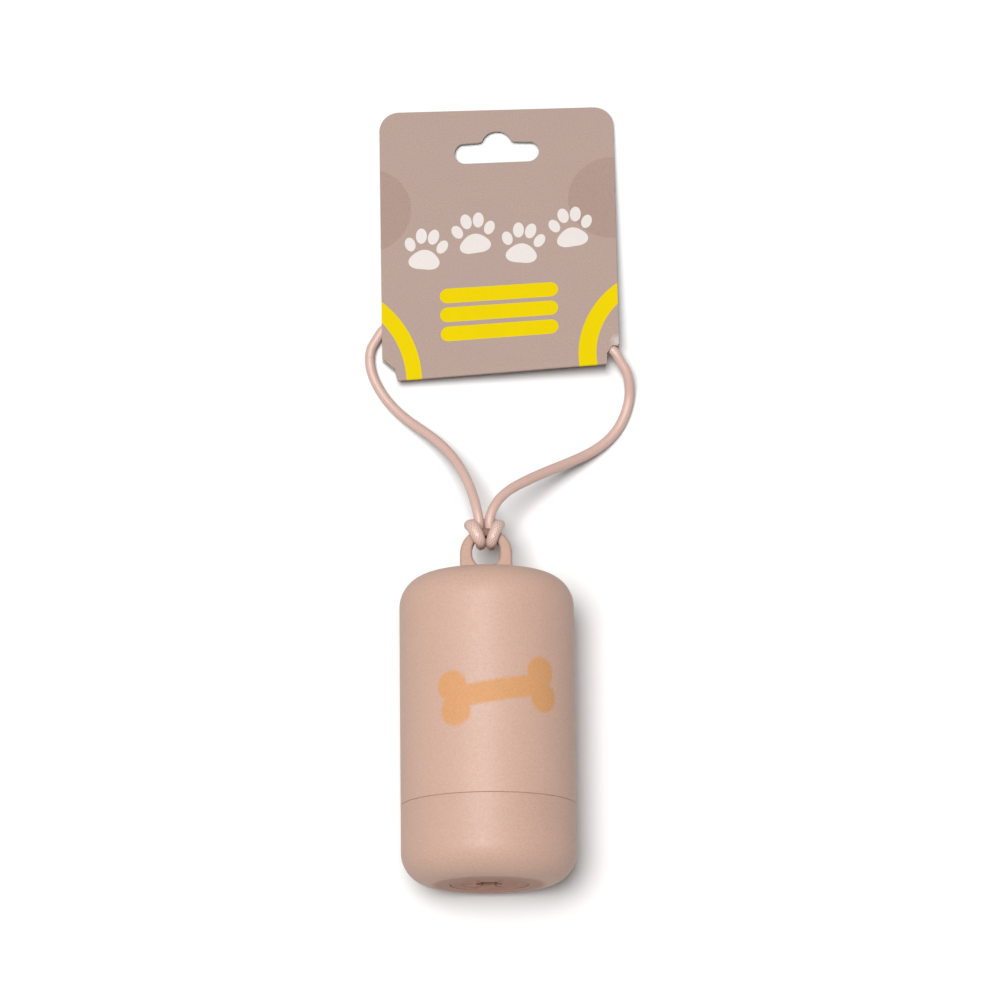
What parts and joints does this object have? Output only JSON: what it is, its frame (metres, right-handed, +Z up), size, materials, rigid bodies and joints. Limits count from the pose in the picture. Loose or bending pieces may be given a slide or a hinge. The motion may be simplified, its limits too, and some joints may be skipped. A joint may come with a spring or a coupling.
{
  "type": "dog poop bag dispenser",
  "caption": "Round capsule for rolled bags with a screw cap, a petal outlet and a flat eye, on an elastic cord loop that carries a folded header card.",
  "frame": {"origin": "on the surface it lies on, under the middle of the capsule and its eye", "axes": "+Z up, the capsule lies along Y with its cap toward -Y and its eye, cord and card toward +Y"},
  "size_m": [0.0692, 0.2076, 0.044],
  "materials": {
    "shell": "soft matte, dusty peach",
    "cap_shell": "soft matte, dusty peach",
    "seal": "soft",
    "grommet": "soft",
    "core_board": "paper board",
    "film": "wound film",
    "cord": "braided elastic",
    "crimp": "satin",
    "card": "coated paper board"
  },
  "bodies": {
    "barrel": {"barrel": "shell", "cord_hitch": "cord"},
    "seal_ring": {"cap_seal": "seal"},
    "cap": {"end_cap": "cap_shell", "outlet_grommet": "grommet"},
    "roll": {"roll_core": "core_board", "bag_roll": "film"},
    "loop": {"cord_leg_left": "cord", "cord_leg_right": "cord"},
    "card": {"header_card": "card", "cord_inner": "cord", "cord_ferrule": "crimp"}
  },
  "joints": [
    {"name": "cap_lift", "type": "slide", "parent": "barrel", "child": "seal_ring", "axis": [0, -1, 0], "range_m": [0, 0.0121]},
    {"name": "cap_turn", "type": "hinge", "parent": "seal_ring", "child": "cap", "pos_m": [0, -0.0256, 0.022], "axis": [0, -1, 0], "range_deg": [0, 720]},
    {"name": "roll_spin", "type": "hinge", "parent": "barrel", "child": "roll", "pos_m": [0, -0.0055, 0.01975], "axis": [0, 1, 0], "continuous": true},
    {"name": "loop_swing", "type": "hinge", "parent": "barrel", "child": "loop", "pos_m": [-0.0003, 0.0498, 0.0197], "axis": [1, 0, 0], "range_deg": [0, 90]},
    {"name": "card_swing", "type": "hinge", "parent": "loop", "child": "card", "pos_m": [-0.0289, 0.0985, 0.0019], "axis": [0.9921, -0.1143, 0.0518], "range_deg": [0, 60]}
  ],
  "couplings": [
    {"joint": "cap_lift", "follows": "cap_turn", "m_per_rad": 0.00095493}
  ]
}
